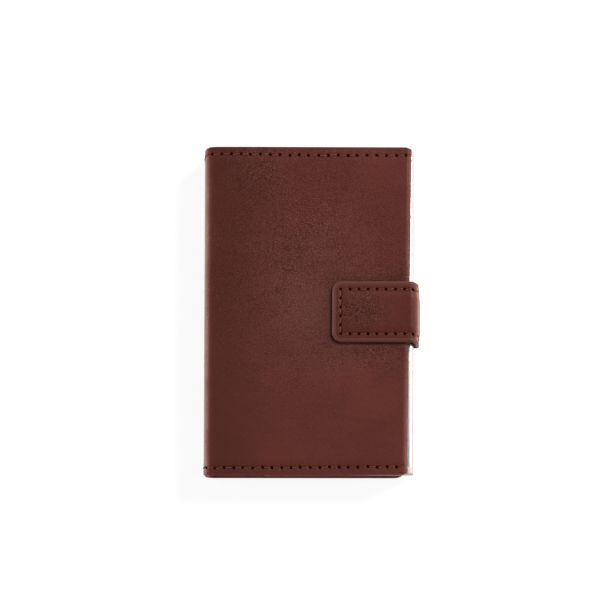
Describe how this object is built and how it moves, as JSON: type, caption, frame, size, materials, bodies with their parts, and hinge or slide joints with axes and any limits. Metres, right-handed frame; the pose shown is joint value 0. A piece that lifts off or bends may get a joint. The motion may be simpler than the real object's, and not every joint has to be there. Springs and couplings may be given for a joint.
{
  "type": "pop-up card wallet",
  "caption": "Slim leather wallet round an aluminium card case whose lever lifts the cards, shut by a side strap.",
  "frame": {"origin": "middle of the underside of the closed wallet lying on its back", "axes": "+X from the spine to the open side with the strap, +Y to the mouth of the card case, +Z out through the front cover"},
  "size_m": [0.0674, 0.103, 0.0197],
  "materials": {
    "cover_leather": "smooth waxed brown leather, soft sheen",
    "lining_leather": "matt brown lining leather",
    "board": "bonded fibre board",
    "adhesive": "thin foam adhesive",
    "aluminium": "satin anodised",
    "black_plastic": "fine moulded texture",
    "pale_plastic": "fine moulded texture",
    "steel": "fine ground"
  },
  "bodies": {
    "back": {"back_leather": "cover_leather", "back_board": "board", "back_lining": "lining_leather", "case_pad": "adhesive", "strap_root": "cover_leather", "case_shell": "aluminium", "case_base": "pale_plastic", "pivot_pin": "steel", "card_guide_left": "black_plastic", "card_guide_right": "black_plastic"},
    "spine": {"spine_leather": "cover_leather", "spine_lining": "lining_leather"},
    "cover": {"cover_leather": "cover_leather", "cover_stiffener": "board", "cover_lining": "lining_leather", "slot_panel_rear": "lining_leather", "slot_panel_front": "lining_leather", "cover_magnet": "steel"},
    "strap_side": {"strap_side_leather": "cover_leather", "strap_side_lining": "lining_leather"},
    "strap_tab": {"strap_tab_leather": "cover_leather", "strap_tab_lining": "lining_leather", "tab_keeper": "steel"},
    "pusher": {"card_pusher": "black_plastic"}
  },
  "joints": [
    {"name": "spine_fold", "type": "hinge", "parent": "back", "child": "spine", "pos_m": [-0.03276, 0, 0.00094], "axis": [0, -1, 0], "range_deg": [0, 90], "deforming": ["strap_tab_leather", "strap_tab_lining", "tab_keeper"]},
    {"name": "cover_fold", "type": "hinge", "parent": "spine", "child": "cover", "pos_m": [-0.03276, 0, 0.01696], "axis": [0, -1, 0], "range_deg": [0, 90], "deforming": ["strap_tab_leather", "strap_tab_lining", "tab_keeper"]},
    {"name": "strap_swing", "type": "hinge", "parent": "back", "child": "strap_side", "pos_m": [0.03282, 0, 0.00218], "axis": [0, 1, 0], "range_deg": [0, 90]},
    {"name": "strap_peel", "type": "hinge", "parent": "strap_side", "child": "strap_tab", "pos_m": [0.03282, 0, 0.01882], "axis": [0, 1, 0], "range_deg": [0, 90]},
    {"name": "card_lift", "type": "hinge", "parent": "back", "child": "pusher", "pos_m": [-0.0201, -0.04185, 0.0069], "axis": [0, 0, 1], "range_deg": [0, 38]}
  ]
}
